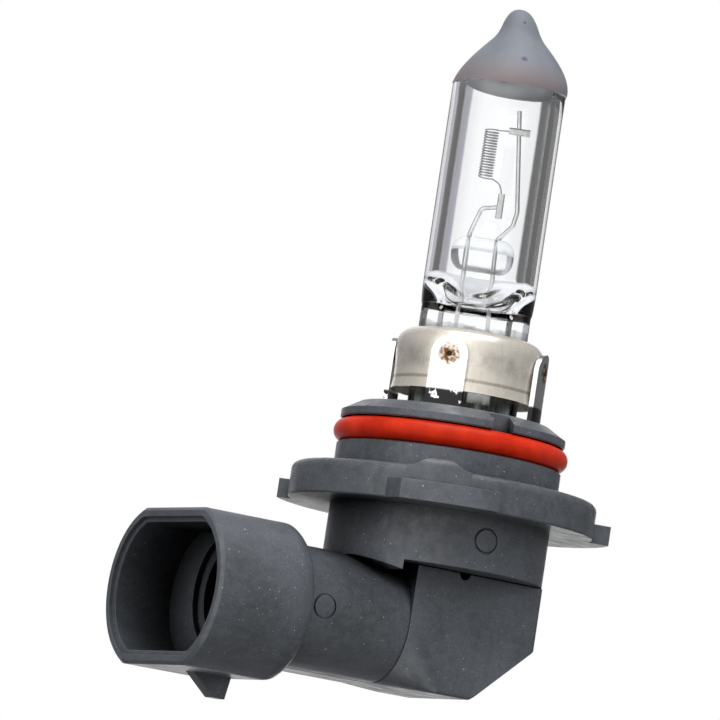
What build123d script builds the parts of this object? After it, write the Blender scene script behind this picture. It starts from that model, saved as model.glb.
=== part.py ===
from build123d import *
import os
from math import cos, radians, sin

# Right-angle headlight bulb.  Millimetres, +Z towards the glass tip.
# The origin is on the base axis, in the reference plane: the flat tops of the three
# pads that the lamp seats on.  The socket for the wiring plug opens towards -X.

REACH = 40.0                   # longer than any cut across the lamp has to be

# --- round base -------------------------------------------------------------------
NECK_RADIUS = 11.0             # pilots in the reflector's hole
FLANGE_RADIUS = 14.95
PAD_HEIGHT = 0.9               # the pads stand this far above the flange
FLANGE_THICKNESS = 3.45
FLANGE_TOP = -PAD_HEIGHT
FLANGE_BOTTOM = FLANGE_TOP - FLANGE_THICKNESS
FLANGE_EDGE_FILLET = 0.8
SMALL_FILLET = 0.2
GROOVE_BOTTOM = 1.6            # O-ring groove
GROOVE_TOP = 3.95
GROOVE_RADIUS = 9.2
LIP_EDGE_TOP = 4.75
LIP_EDGE_CHAMFER = 0.15
BASE_TOP = 5.75
BASE_TOP_RADIUS = 9.3
SKIRT_RADIUS = 10.76           # plain cylinder below the flange
SKIRT_BOTTOM = -9.65

LUG_THICKNESS = 1.9
LUG_START = -21.5              # degrees from the lug's own middle
LUG_END = 19.5
# each lug's middle, outer radius, and how many degrees of its start slope out as a lead-in;
# they differ so that the lamp goes in one way only
LUGS = ((-120, 16.45, 7.0), (0, 16.85, 1.0), (120, 16.3, 1.0))

PAD_ANGLES = (-122.6, -2.6, 117.4)
PAD_FLAT = 1.0                 # width of the flat crest
PAD_FOOT = 6.2                 # width where the pad runs out into the flange
PAD_SINK = 0.05                # the flanks dip under the flange by this much at the foot
PAD_INNER_RADIUS = 11.6        # relief beside the neck, so the mating seat bears flat

NOTCH_ANGLES = (-94, 86)       # vents cut through the lip
NOTCH_WIDTH = 2.2
NOTCH_DEPTH = 1.5
NOTCH_FLOOR = 3.75

POCKET_RADIUS = 6.4            # well around the foot of the glass
POCKET_FLOOR = 2.0
CHAMBER_TOP = -0.4             # ceiling of the wiring chamber inside the skirt
CHAMBER_X = (-3.4, 8.2)
CHAMBER_HALF_WIDTH = 5.2

# --- socket -----------------------------------------------------------------------
TUBE_RADIUS = 5.93
TUBE_AXIS_Z = -15.4
TUBE_BORE = 4.55
ELBOW_FACE_X = -5.0            # the tube ends here, against the elbow cover
KEEL_BOTTOM = -21.36           # one lower quarter of the tube is squared off, down to here
KEEL_FILLET = 0.5
SADDLE_BOTTOM = -10.6          # the skirt slopes down to here over the tube
SADDLE_X = (-10.4, -7.6)

SHROUD_Z = -15.85
SHROUD_HALF_HEIGHT = 7.55
SHROUD_END_RADIUS = 8.0
SHROUD_END_CENTRE = 3.4
SHROUD_CORNER = 1.6
SHROUD_WALL = 1.35
SHROUD_BACK_FILLET = 2.4
MOUTH_X = -28.95
SHROUD_BACK_X = -17.8
SHROUD_FLOOR_X = -22.5
SEAT_RADIUS = 5.65             # counterbore in the shroud's floor
SEAT_DEPTH = 0.6
BLADE_WEB_X = (-15.5, -12.5)   # solid web that carries the two blades
RIM_CHAMFER = 0.45
RIM_OUTER_CHAMFER = 0.3

LATCH_WIDTH = 1.5
LATCH_DROP = 2.1
LATCH_RAMP_X = (-24.9, -22.2)
LATCH_CREST_X = -20.9
LATCH_BACK_X = -20.5

PIN_MARK_RADIUS = 1.25         # witness rings of the mould's core pins
PIN_MARK_LINE = 0.2
PIN_MARK_DEPTH = 0.18
SKIRT_MARK_Z = -6.7
TUBE_MARK_X = -14.45

# --- elbow cover ------------------------------------------------------------------
COVER_RADIUS = 10.85
COVER_GAP = 0.1                # open seam under the skirt
COVER_TOP = SKIRT_BOTTOM - COVER_GAP
COVER_HALF_WIDTH = 6.05        # flat sides
COVER_BOTTOM = -21.6
COVER_WALL = 1.5
COVER_SQUARE_X = -1.0          # from the tube's round section to here it turns into a box
COVER_FRONT_BOTTOM = -21.35
COVER_FRONT_ROUND = 5.9        # corner radius under the near side, where the tube arrives
COVER_LOWER_ROUND = 0.5        # corner radius under both sides of the box
COVER_REAR_FILLET = 0.6
COVER_CHAMFER_TOP_Z = -15.95
COVER_CHAMFER_START_X = 9.0
COVER_CHAMFER_END_X = 2.8
SPIGOT_HEIGHT = 1.2
SPIGOT_CLEARANCE = 0.1
COVER_NICK_RADIUS = 0.6
COVER_NICK_X = 0.25

# --- O-ring -----------------------------------------------------------------------
ORING_SECTION = 2.26
ORING_OUTER_RADIUS = 11.48

# --- burner: glass, filament and metal mount, shifted and turned as one ------------
BURNER_SHIFT = 0.55
BURNER_ANGLE = -30.0
GLASS_RADIUS = 5.55
GLASS_WALL = 1.25
COATING_EDGE_Z = 38.1
TIP_Z = 46.1
TIP_CURVE = ((4.1, 40.95), (2.3, 43.2), (1.42, 44.8))    # radius and height, up the neck
TIP_NOSE = (0.85, 45.75)
TIP_NECK_SLOPE = (-0.45, 1)
DOME_TOP_Z = 42.2              # inside of the glass
DOME_CURVE = (3.2, 40.3)
SHOULDER_Z = 19.0              # the round tube starts to flatten here
CAVITY_FLOOR_Z = 17.7
CAVITY_WALL_Z = 20.2
CAVITY_CURVE = (3.2, 18.2)
PINCH_TOP_Z = 16.2
PINCH_BOTTOM_Z = 4.0
PINCH_HALF_WIDTH = 5.35
PINCH_THICKNESS = 2.6
PINCH_CORNER = 1.1
RAIL_WIDTH = 1.9
RAIL_THICKNESS = 3.6
RAIL_CORNER = 0.8
RAIL_TOP_Z = 16.8
COATING_THICKNESS = 0.06

COIL_X = -1.07
COIL_BOTTOM_Z = 29.2
COIL_TOP_Z = 34.0
COIL_RADIUS = 0.66
COIL_TURNS = 18
COIL_WIRE = 0.13
COIL_TOP_TAIL = (1.0, 34.12)   # ends of the coil's straight tails, (x, z)
COIL_FOOT_BEND = (0.5, 28.85)
COIL_FOOT_TAIL = (0.72, 27.3)
COIL_FOOT_RADIUS = 0.3
SUPPORT_WIRE = 0.43
WIRE_BEND = 0.6
LONG_LEAD_X = 1.45
SHORT_LEAD_X = -1.8
LONG_WIRE_BENDS = ((1.3, 36.2), (2.53, 26.3), (2.3, 24.9), (0.9, 23.2))    # (x, z)
SHORT_WIRE_BENDS = ((0.72, 26.55), (-0.95, 26.2), (-1.75, 23.6))
CLAMP_DEPTH = 0.75
CLAMP_EDGE = 0.18
UPPER_CLAMP_AT = (1.6, 34.12)
UPPER_CLAMP_SIZE = (2.05, 0.65)
LOWER_CLAMP_AT = (0.78, 26.65)
LOWER_CLAMP_SIZE = (0.65, 2.4)
FEED_WIRE = 0.6
FEED_TURN_Z = (1.2, -2.4)      # the feed wires swing across to the terminals between these heights
FEED_LAP = 2.5                 # length soldered beside the riser
BEAD_X = -0.22
BEAD_Z = 21.6
BEAD_LENGTH = 6.1
BEAD_DIAMETER = 3.5
BEAD_END_RADIUS = 1.45
FOIL_WIDTH = 2.2
FOIL_THICKNESS = 0.05
FOIL_TOP_Z = 12.6
FOIL_BOTTOM_Z = 7.2
FOIL_LAP = 0.8

COLLAR_RADIUS = 7.2
COLLAR_WALL = 0.35
COLLAR_RIM_Z = 7.5
COLLAR_TOP_Z = 13.65
COLLAR_SHOULDER = 1.6
COLLAR_CROWN = 1.2             # width of the flat ring round the slot
COLLAR_WAIST = 0.12
COLLAR_FLARE = (-0.25, 1)
COLLAR_SLOT_MARGIN = 0.25

CLIP_WIDTH = 4.4
CLIP_SHEET = 0.3
CLIP_LEG = 2.8
CLIP_PLAY = 0.05
CLIP_GAP = 0.6                 # between the legs and the collar's waist
CLIP_Z = (8.3, 13.05)

PRONG_INNER_RADIUS = 7.3
PRONG_THICKNESS = 0.45
PRONG_WIDTH = 3.7
PRONG_TOP_Z = 12.7
PRONG_BAND_Z = (2.6, 4.0)
PRONG_ANGLES = (-135, -45, 45, 135)
WELD_Z = 10.9
WELD_RADIUS = 0.55
WELD_BITE = 0.2                # how far a nugget reaches into each sheet

# --- terminals --------------------------------------------------------------------
BLADE_Y = 2.3
BLADE_WIDTH = 2.8
BLADE_THICKNESS = 0.8
BLADE_TIP_X = -20.4
BLADE_TIP_CHAMFER = 0.25
RISER_X = (-1.6, 1.2)
RISER_TOP_Z = -4.6


def at_burner(shape):
    """Put a shape drawn in the burner's own frame into the lamp's frame."""
    shift = Vector(BURNER_SHIFT, 0, 0).rotate(Axis.Z, BURNER_ANGLE)
    return Pos(shift) * Rot(0, 0, BURNER_ANGLE) * shape


def disc(radius, low, high):
    """Plain cylinder about Z between two heights."""
    return Pos(0, 0, low) * Cylinder(radius, high - low, align=(Align.CENTER, Align.CENTER, Align.MIN))


def rod_x(radius, start, end, z):
    """Cylinder along X between two X positions, at height z."""
    along_x = Plane(origin=(start, 0, z), z_dir=(1, 0, 0))
    return along_x * Cylinder(radius, end - start, align=(Align.CENTER, Align.CENTER, Align.MIN))


def block(x, y, z):
    """Box from three (low, high) pairs."""
    size = [high - low for low, high in (x, y, z)]
    centre = [(high + low) / 2 for low, high in (x, y, z)]
    return Pos(*centre) * Box(*size)


def wire(points, diameter, bend):
    """Round wire along a path of (x, z) points in the burner's plane, with bent corners."""
    corners = [(x, 0, z) for x, z in points]
    path = FilletPolyline(*corners, radius=bend) if len(corners) > 2 else Line(*corners)
    return sweep(Plane(path @ 0, z_dir=path % 0) * Circle(diameter / 2), path=path)


# --- base housing -----------------------------------------------------------------
def round_base():
    outline = Plane.XZ * Polyline(
        (0, BASE_TOP),
        (BASE_TOP_RADIUS, BASE_TOP),
        (NECK_RADIUS, LIP_EDGE_TOP),
        (NECK_RADIUS, GROOVE_TOP + LIP_EDGE_CHAMFER),
        (NECK_RADIUS - LIP_EDGE_CHAMFER, GROOVE_TOP),
        (GROOVE_RADIUS, GROOVE_TOP),
        (GROOVE_RADIUS, GROOVE_BOTTOM),
        (NECK_RADIUS - LIP_EDGE_CHAMFER, GROOVE_BOTTOM),
        (NECK_RADIUS, GROOVE_BOTTOM - LIP_EDGE_CHAMFER),
        (NECK_RADIUS, FLANGE_TOP),
        (FLANGE_RADIUS, FLANGE_TOP),
        (FLANGE_RADIUS, FLANGE_BOTTOM),
        (SKIRT_RADIUS, FLANGE_BOTTOM),
        (SKIRT_RADIUS, SKIRT_BOTTOM),
        (0, SKIRT_BOTTOM),
        close=True,
    )
    section = make_face(outline)
    upper_edge = section.vertices().sort_by_distance((FLANGE_RADIUS, 0, FLANGE_TOP))[0]
    section = fillet(upper_edge, FLANGE_EDGE_FILLET)
    lower_edge = section.vertices().sort_by_distance((FLANGE_RADIUS, 0, FLANGE_BOTTOM))[0]
    section = fillet(lower_edge, SMALL_FILLET)
    return revolve(section, Axis.Z)


def lug(angle, radius, lead_in):
    """Bayonet lug whose outer edge slopes out over the lead-in, at the end that enters first."""
    outside = CenterArc((0, 0), radius, LUG_START + lead_in, LUG_END - LUG_START - lead_in)
    inside = CenterArc((0, 0), FLANGE_RADIUS - 1, LUG_START, LUG_END - LUG_START)
    nose = CenterArc((0, 0), FLANGE_RADIUS, LUG_START, lead_in) @ 0
    edges = [outside, inside, Polyline(inside @ 0, nose, outside @ 0), Line(inside @ 1, outside @ 1)]
    return Rot(0, 0, angle) * Pos(0, 0, FLANGE_BOTTOM) * extrude(make_face(edges), LUG_THICKNESS)


def seating_pad(angle):
    """Radial ridge with a flat crest; its flanks run out smoothly into the flange."""
    half_flat, half_foot = PAD_FLAT / 2, PAD_FOOT / 2
    foot = FLANGE_TOP - PAD_SINK
    sunk = FLANGE_TOP - FLANGE_EDGE_FILLET
    rise = Spline((-half_foot, foot), (-half_flat, 0), tangents=[(1, 0), (1, 0)])
    crest = Line((-half_flat, 0), (half_flat, 0))
    fall = Spline((half_flat, 0), (half_foot, foot), tangents=[(1, 0), (1, 0)])
    root = Polyline(fall @ 1, (half_foot, sunk), (-half_foot, sunk), rise @ 0)
    across = Plane(origin=(NECK_RADIUS - 1, 0, 0), x_dir=(0, 1, 0), z_dir=(1, 0, 0))
    ridge = across * extrude(make_face([rise, crest, fall, root]), FLANGE_RADIUS)
    trim = disc(FLANGE_RADIUS, sunk, 0)
    trim = fillet(trim.edges().filter_by(GeomType.CIRCLE).sort_by(Axis.Z)[-1], FLANGE_EDGE_FILLET)
    trim -= disc(PAD_INNER_RADIUS, FLANGE_TOP, 1)
    return Rot(0, 0, angle) * (ridge & trim)


def shroud_outline(inset=0.0):
    """Oval of the socket: two round ends cut off by flat sides, in the YZ plane."""
    radius = SHROUD_END_RADIUS - inset
    half_height = SHROUD_HALF_HEIGHT - inset
    ends = Pos(-SHROUD_END_CENTRE, 0) * Circle(radius) + Pos(SHROUD_END_CENTRE, 0) * Circle(radius)
    middle = Rectangle(2 * SHROUD_END_CENTRE, 2 * radius)
    flats = Rectangle(4 * radius, 2 * half_height)
    oval = (ends + middle) & flats
    return fillet(oval.vertices(), SHROUD_CORNER)


def shroud_prism(inset, start, end):
    across = Plane(origin=(start, 0, SHROUD_Z), x_dir=(0, 1, 0), z_dir=(1, 0, 0))
    return across * extrude(shroud_outline(inset), end - start)


def shroud():
    solid = shroud_prism(0, MOUTH_X, SHROUD_BACK_X)
    back = solid.edges().group_by(Axis.X)[-1]
    solid = fillet(back, SHROUD_BACK_FILLET)
    front = solid.edges().group_by(Axis.X)[0]
    return chamfer(front, RIM_OUTER_CHAMFER)


def latch():
    """Thin wedge under the socket that the wiring plug's catch snaps over."""
    top = SHROUD_Z - SHROUD_HALF_HEIGHT + SMALL_FILLET
    crest = SHROUD_Z - SHROUD_HALF_HEIGHT - LATCH_DROP
    side = Plane.XZ * Polyline(
        (LATCH_RAMP_X[0], top), (LATCH_RAMP_X[1], crest), (LATCH_CREST_X, crest), (LATCH_BACK_X, top),
        close=True,
    )
    return extrude(make_face(side), LATCH_WIDTH / 2, both=True)


def socket_cavities():
    mouth = shroud_prism(SHROUD_WALL, MOUTH_X - 1, SHROUD_FLOOR_X)
    rim = shroud_prism(SHROUD_WALL - RIM_CHAMFER, MOUTH_X, MOUTH_X + RIM_CHAMFER)
    seat = rod_x(SEAT_RADIUS, SHROUD_FLOOR_X - 1, SHROUD_FLOOR_X + SEAT_DEPTH, TUBE_AXIS_Z)
    bore = rod_x(TUBE_BORE, SHROUD_FLOOR_X, BLADE_WEB_X[0], TUBE_AXIS_Z)
    passage = rod_x(TUBE_BORE, BLADE_WEB_X[1], 0, TUBE_AXIS_Z)
    return [mouth, rim, seat, bore, passage]


def saddle():
    """Lower part of the skirt over the tube; its underside slopes down towards the elbow."""
    start, end = SADDLE_X
    top = SKIRT_BOTTOM + 1
    side = Plane.XZ * Polyline(
        (start, top), (start, SKIRT_BOTTOM), (end, SADDLE_BOTTOM), (end, top),
        close=True,
    )
    return extrude(make_face(side), SKIRT_RADIUS, both=True) & disc(SKIRT_RADIUS, SADDLE_BOTTOM, top)


def keel():
    """Squared quarter of the tube: flat underneath, on the far side of the socket's arm."""
    corner = block((SHROUD_BACK_X - 1, ELBOW_FACE_X), (0, TUBE_RADIUS), (KEEL_BOTTOM, TUBE_AXIS_Z))
    outer_corner = (ELBOW_FACE_X, TUBE_RADIUS, KEEL_BOTTOM)
    outer_edge = corner.edges().filter_by(Axis.X).sort_by_distance(outer_corner)[0]
    return fillet(outer_edge, KEEL_FILLET)


def witness_ring(centre, outward):
    """Shallow ring groove left by a core pin."""
    face = Plane(origin=Vector(*centre) - Vector(*outward) * PIN_MARK_DEPTH, z_dir=outward)
    ring = Circle(PIN_MARK_RADIUS) - Circle(PIN_MARK_RADIUS - PIN_MARK_LINE)
    return face * extrude(ring, 1)


def witness_rings():
    rings = []
    for angle in NOTCH_ANGLES:
        outward = (cos(radians(angle)), sin(radians(angle)), 0)
        on_skirt = (outward[0] * SKIRT_RADIUS, outward[1] * SKIRT_RADIUS, SKIRT_MARK_Z)
        rings.append(witness_ring(on_skirt, outward))
    for side in (-1, 1):
        rings.append(witness_ring((TUBE_MARK_X, side * TUBE_RADIUS, TUBE_AXIS_Z), (0, side, 0)))
    return rings


def base_housing(burner_cutters, terminals, feed_wires):
    body = round_base()
    for angle, radius, lead_in in LUGS:
        body += lug(angle, radius, lead_in)
    for angle in PAD_ANGLES:
        body += seating_pad(angle)
    body += saddle()
    body += keel()
    body += rod_x(TUBE_RADIUS, SHROUD_BACK_X - 1, ELBOW_FACE_X, TUBE_AXIS_Z)
    body += shroud()
    body += latch()
    for cavity in socket_cavities():
        body -= cavity
    across = (-CHAMBER_HALF_WIDTH, CHAMBER_HALF_WIDTH)
    body -= block(CHAMBER_X, across, (SKIRT_BOTTOM - 1, CHAMBER_TOP))
    body -= at_burner(disc(POCKET_RADIUS, POCKET_FLOOR, BASE_TOP + 1))
    for angle in NOTCH_ANGLES:
        slot = block((NECK_RADIUS - NOTCH_DEPTH, NECK_RADIUS + 1), (-NOTCH_WIDTH / 2, NOTCH_WIDTH / 2),
                     (NOTCH_FLOOR, BASE_TOP + 1))
        body -= Rot(0, 0, angle) * slot
    for ring in witness_rings():
        body -= ring
    for cutter in burner_cutters + terminals + feed_wires:
        body -= cutter
    return body


# --- elbow cover and seal ---------------------------------------------------------
def cover_section(x, bottom, near_round, far_round, inset=0.0):
    """Cross-section of the cover at x: flat sides, a bottom with one corner radius on each side."""
    half, low, top = COVER_HALF_WIDTH - inset, bottom + inset, COVER_TOP
    near_round, far_round = near_round - inset, far_round - inset
    walls = Polyline((half, low + far_round), (half, top), (-half, top), (-half, low + near_round))
    near_corner = RadiusArc(walls @ 1, (near_round - half, low), -near_round)
    far_corner = RadiusArc((half - far_round, low), walls @ 0, -far_round)
    floor = Line(near_corner @ 1, far_corner @ 0)
    across = Plane(origin=(x, 0, 0), x_dir=(0, 1, 0), z_dir=(1, 0, 0))
    return across * make_face([walls, near_corner, floor, far_corner])


def cover_chamfer(inset):
    """Wedge that takes off the lower rear corner; inset moves it in by one wall."""
    high_x = COVER_CHAMFER_START_X - inset
    low_x = COVER_CHAMFER_END_X - inset / 2
    run, rise = high_x - low_x, COVER_CHAMFER_TOP_Z - COVER_BOTTOM
    floor = COVER_BOTTOM + inset
    side = Plane.XZ * Polyline(
        (low_x - run, floor - rise), (high_x + run, floor + 2 * rise), (high_x + 3 * run, floor - rise),
        close=True,
    )
    return extrude(make_face(side), 2 * COVER_RADIUS, both=True)


def cover_shell():
    """Round behind, flat-sided, and turning from the tube's round underside into a box."""
    front = cover_section(ELBOW_FACE_X, COVER_FRONT_BOTTOM, COVER_FRONT_ROUND, KEEL_FILLET)
    square = cover_section(COVER_SQUARE_X, COVER_BOTTOM, COVER_LOWER_ROUND, COVER_LOWER_ROUND)
    box = extrude(square, COVER_RADIUS - COVER_SQUARE_X, dir=(1, 0, 0))
    box &= disc(COVER_RADIUS, COVER_BOTTOM, COVER_TOP)
    box = fillet(box.edges().filter_by(Axis.Z).group_by(Axis.X)[-1], COVER_REAR_FILLET)
    return loft([front, square], ruled=True) + box - cover_chamfer(0)


def elbow_cover():
    inner_round = COVER_WALL + SMALL_FILLET
    inner = cover_section(ELBOW_FACE_X + COVER_WALL, COVER_BOTTOM, inner_round, inner_round, COVER_WALL)
    hollow = extrude(inner, 2 * COVER_RADIUS, dir=(1, 0, 0))
    hollow &= disc(COVER_RADIUS - COVER_WALL, COVER_BOTTOM, COVER_TOP)
    hollow -= cover_chamfer(COVER_WALL)
    outside, inside = CHAMBER_HALF_WIDTH - SPIGOT_CLEARANCE, CHAMBER_HALF_WIDTH - 1
    front, back = CHAMBER_X[0] + SPIGOT_CLEARANCE, CHAMBER_X[1] - SPIGOT_CLEARANCE
    spigot_z = (COVER_TOP - 1, COVER_TOP + SPIGOT_HEIGHT)
    spigot = block((front, back), (-outside, outside), spigot_z)
    spigot -= block((front + 1, back - 1), (-inside, inside), spigot_z)
    doorway = rod_x(TUBE_BORE, ELBOW_FACE_X - 2, 0, TUBE_AXIS_Z)
    nick_from = Plane(origin=(COVER_NICK_X, COVER_WALL - COVER_HALF_WIDTH, COVER_TOP), z_dir=(0, -1, 0))
    nick = nick_from * Cylinder(COVER_NICK_RADIUS, REACH, align=(Align.CENTER, Align.CENTER, Align.MIN))
    return cover_shell() - hollow + spigot - doorway - nick


def o_ring():
    section = ORING_SECTION / 2
    middle = (GROOVE_BOTTOM + GROOVE_TOP) / 2
    return Pos(0, 0, middle) * Torus(ORING_OUTER_RADIUS - section, section)


# --- burner: glass ----------------------------------------------------------------
def tip_outline(grow=0.0):
    """Right half of the drawn-off tip, from the coating's edge to the apex."""
    neck = [(radius + grow, z) for radius, z in TIP_CURVE]
    nose = (TIP_NOSE[0] + grow, TIP_NOSE[1])
    shoulder = Spline((GLASS_RADIUS + grow, COATING_EDGE_Z), *neck, tangents=[(0, 1), TIP_NECK_SLOPE])
    cap = Spline(neck[-1], nose, (0, TIP_Z + grow), tangents=[TIP_NECK_SLOPE, (-1, 0)])
    return shoulder, cap


def closed_turn(edges):
    """Revolve edges drawn in (radius, height), given in order round the section."""
    return revolve(Plane.XZ * make_face(edges), Axis.Z)


def glass_outside():
    shoulder, nose = tip_outline()
    corner = (GLASS_RADIUS, SHOULDER_Z)
    sides = Polyline((0, TIP_Z), (0, SHOULDER_Z), corner, (GLASS_RADIUS, COATING_EDGE_Z))
    tube = closed_turn([shoulder, nose, sides])
    shape = pinch_section()
    swell = loft([Pos(0, 0, PINCH_TOP_Z) * shape, Pos(0, 0, SHOULDER_Z) * Circle(GLASS_RADIUS)])
    pinch = Pos(0, 0, PINCH_BOTTOM_Z) * extrude(shape, PINCH_TOP_Z - PINCH_BOTTOM_Z)
    rail = extrude(RectangleRounded(RAIL_WIDTH, RAIL_THICKNESS, RAIL_CORNER), RAIL_TOP_Z - PINCH_BOTTOM_Z)
    for side in (-1, 1):
        pinch += Pos(side * (PINCH_HALF_WIDTH - RAIL_WIDTH / 2), 0, PINCH_BOTTOM_Z) * rail
    return tube + swell + pinch


def pinch_section():
    return RectangleRounded(2 * PINCH_HALF_WIDTH, PINCH_THICKNESS, PINCH_CORNER)


def glass_inside():
    """Gas space: a tube with a rounded floor and a domed top."""
    top, bottom = (0, DOME_TOP_Z), (0, CAVITY_FLOOR_Z)
    wall = Line((GLASS_RADIUS - GLASS_WALL, CAVITY_WALL_Z), (GLASS_RADIUS - GLASS_WALL, COATING_EDGE_Z))
    dome = Spline(wall @ 1, DOME_CURVE, top, tangents=[(0, 1), (-1, 0.1)])
    floor = Spline(bottom, CAVITY_CURVE, wall @ 0, tangents=[(1, 0), (0, 1)])
    return closed_turn([dome, Line(top, bottom), floor, wall])


def tip_coating():
    inner_shoulder, inner_nose = tip_outline()
    outer_shoulder, outer_nose = tip_outline(COATING_THICKNESS)
    apex = Line(inner_nose @ 1, outer_nose @ 1)
    edge = Line(inner_shoulder @ 0, outer_shoulder @ 0)
    return closed_turn([inner_shoulder, inner_nose, apex, outer_nose, outer_shoulder, edge])


# --- burner: filament and its mount -----------------------------------------------
def filament_coil():
    pitch = (COIL_TOP_Z - COIL_BOTTOM_Z) / COIL_TURNS
    turns = Helix(pitch, COIL_TOP_Z - COIL_BOTTOM_Z, COIL_RADIUS, center=(COIL_X, 0, COIL_BOTTOM_Z))
    bare = Circle(COIL_WIRE / 2)
    coil = sweep(Plane(turns @ 0, z_dir=turns % 0) * bare, path=turns, is_frenet=True)
    start, end = turns @ 0, turns @ 1
    bend, tail, top = [(x, 0, z) for x, z in (COIL_FOOT_BEND, COIL_FOOT_TAIL, COIL_TOP_TAIL)]
    foot = FilletPolyline(start, bend, tail, radius=COIL_FOOT_RADIUS)
    for path in (Line(end, top), foot):
        coil += sweep(Plane(path @ 0, z_dir=path % 0) * bare, path=path)
    for joint in (start, end):
        coil += Pos(joint) * Sphere(COIL_WIRE / 2)
    return coil


def long_support_wire():
    return wire([*LONG_WIRE_BENDS, (LONG_LEAD_X, FOIL_TOP_Z - FOIL_LAP)], SUPPORT_WIRE, WIRE_BEND)


def short_support_wire():
    return wire([*SHORT_WIRE_BENDS, (SHORT_LEAD_X, FOIL_TOP_Z - FOIL_LAP)], SUPPORT_WIRE, WIRE_BEND)


def clamp(at, size):
    """Folded strip pressed flat over the wires it joins."""
    strip = Pos(at[0], 0, at[1]) * Box(size[0], CLAMP_DEPTH, size[1])
    along = Axis.Z if size[1] > size[0] else Axis.X
    return fillet(strip.edges().filter_by(along), CLAMP_EDGE)


def bead_bridge():
    """Clear glass rod that ties the two support wires together."""
    rod = rod_x(BEAD_DIAMETER / 2, BEAD_X - BEAD_LENGTH / 2, BEAD_X + BEAD_LENGTH / 2, BEAD_Z)
    return fillet(rod.edges().filter_by(GeomType.CIRCLE), BEAD_END_RADIUS)


def foil(x):
    return block((x - FOIL_WIDTH / 2, x + FOIL_WIDTH / 2), (-FOIL_THICKNESS / 2, FOIL_THICKNESS / 2),
                 (FOIL_BOTTOM_Z, FOIL_TOP_Z))


def feed_wire(x, side):
    """Outer lead: from the foil down through the base to the terminal's riser."""
    start = at_burner(Vertex(x, 0, FOIL_BOTTOM_Z + FOIL_LAP)).center()
    floor = at_burner(Vertex(x, 0, FEED_TURN_Z[0])).center()
    contact = side * (BLADE_Y + BLADE_THICKNESS / 2 + FEED_WIRE / 2)
    end = RISER_TOP_Z - FEED_LAP
    path = FilletPolyline(start, floor, (0, contact, FEED_TURN_Z[1]), (0, contact, end), radius=WIRE_BEND)
    return sweep(Plane(path @ 0, z_dir=path % 0) * Circle(FEED_WIRE / 2), path=path)


# --- burner: sheet metal ----------------------------------------------------------
def collar():
    """Drawn steel cup: rolled shoulder, slightly waisted wall and a flared rim."""
    outer, inner = COLLAR_RADIUS, COLLAR_RADIUS - COLLAR_WALL
    top, shoulder = COLLAR_TOP_Z, COLLAR_SHOULDER
    rim = COLLAR_RIM_Z
    waist_z = (rim + top - shoulder) / 2
    bend = outer - shoulder        # radius where the rolled shoulder meets the flat crown
    eye = bend - COLLAR_CROWN

    def half(radius, lift):
        wall = Spline((radius, rim), (radius - COLLAR_WAIST, waist_z), (radius, top - shoulder),
                      tangents=[COLLAR_FLARE, (0, 1)])
        roll = RadiusArc((radius, top - shoulder), (bend, top + lift), bend - radius)
        crown = Line((bend, top + lift), (eye, top + lift))
        return wall, roll, crown

    outside, inside = half(outer, 0), half(inner, -COLLAR_WALL)
    closing = [Line((eye, top), (eye, top - COLLAR_WALL)), Line((outer, rim), (inner, rim))]
    cup = closed_turn([*outside, *inside, *closing])
    slot = block(
        (-PINCH_HALF_WIDTH - COLLAR_SLOT_MARGIN, PINCH_HALF_WIDTH + COLLAR_SLOT_MARGIN),
        (-RAIL_THICKNESS / 2 - COLLAR_SLOT_MARGIN, RAIL_THICKNESS / 2 + COLLAR_SLOT_MARGIN),
        (top - 1, top + 1),
    )
    return cup - slot


def pinch_clip():
    """Two sprung leaves that grip the flat pinch and press out against the collar."""
    grip = RAIL_THICKNESS / 2 + CLIP_PLAY
    reach = COLLAR_RADIUS - COLLAR_WALL - COLLAR_WAIST - CLIP_GAP
    low, high = CLIP_Z
    across = (-CLIP_WIDTH / 2, CLIP_WIDTH / 2)
    leaf = block(across, (grip, grip + CLIP_SHEET), (low, high))
    leaf += block(across, (grip, reach), (low, low + CLIP_SHEET))
    leaf += block(across, (reach - CLIP_SHEET, reach), (low, low + CLIP_LEG))
    return Compound([leaf, Rot(0, 0, 180) * leaf])


def prong_ring():
    """Ring with four upright prongs; the band is buried in the plastic."""
    outer = PRONG_INNER_RADIUS + PRONG_THICKNESS
    ring = disc(outer, *PRONG_BAND_Z) - disc(PRONG_INNER_RADIUS, 0, PRONG_TOP_Z)
    low = PRONG_BAND_Z[0]
    sleeve = disc(outer, low, PRONG_TOP_Z) - disc(PRONG_INNER_RADIUS, low - 1, PRONG_TOP_Z + 1)
    half, round_z = PRONG_WIDTH / 2, PRONG_TOP_Z - PRONG_WIDTH / 2
    blank = block((0, outer + 1), (-half, half), (low, round_z)) + rod_x(half, 0, outer + 1, round_z)
    for angle in PRONG_ANGLES:
        ring += Rot(0, 0, angle - BURNER_ANGLE) * (sleeve & blank)
    return ring


def weld_nuggets():
    """Spot welds that fill the gap between collar and prongs."""
    nugget = rod_x(WELD_RADIUS, COLLAR_RADIUS - WELD_BITE, PRONG_INNER_RADIUS + WELD_BITE, WELD_Z)
    return [Rot(0, 0, angle - BURNER_ANGLE) * nugget for angle in PRONG_ANGLES]


# --- terminals --------------------------------------------------------------------
def terminal(side):
    """Flat blade that turns up at the elbow to meet its feed wire."""
    y = (side * BLADE_Y - BLADE_THICKNESS / 2, side * BLADE_Y + BLADE_THICKNESS / 2)
    z = (TUBE_AXIS_Z - BLADE_WIDTH / 2, TUBE_AXIS_Z + BLADE_WIDTH / 2)
    blade = block((BLADE_TIP_X, RISER_X[1]), y, z)
    tip = blade.edges().group_by(Axis.X)[0]
    blade = chamfer(tip, BLADE_TIP_CHAMFER)
    riser = block(RISER_X, y, (z[0], RISER_TOP_Z))
    return blade + riser


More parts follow.
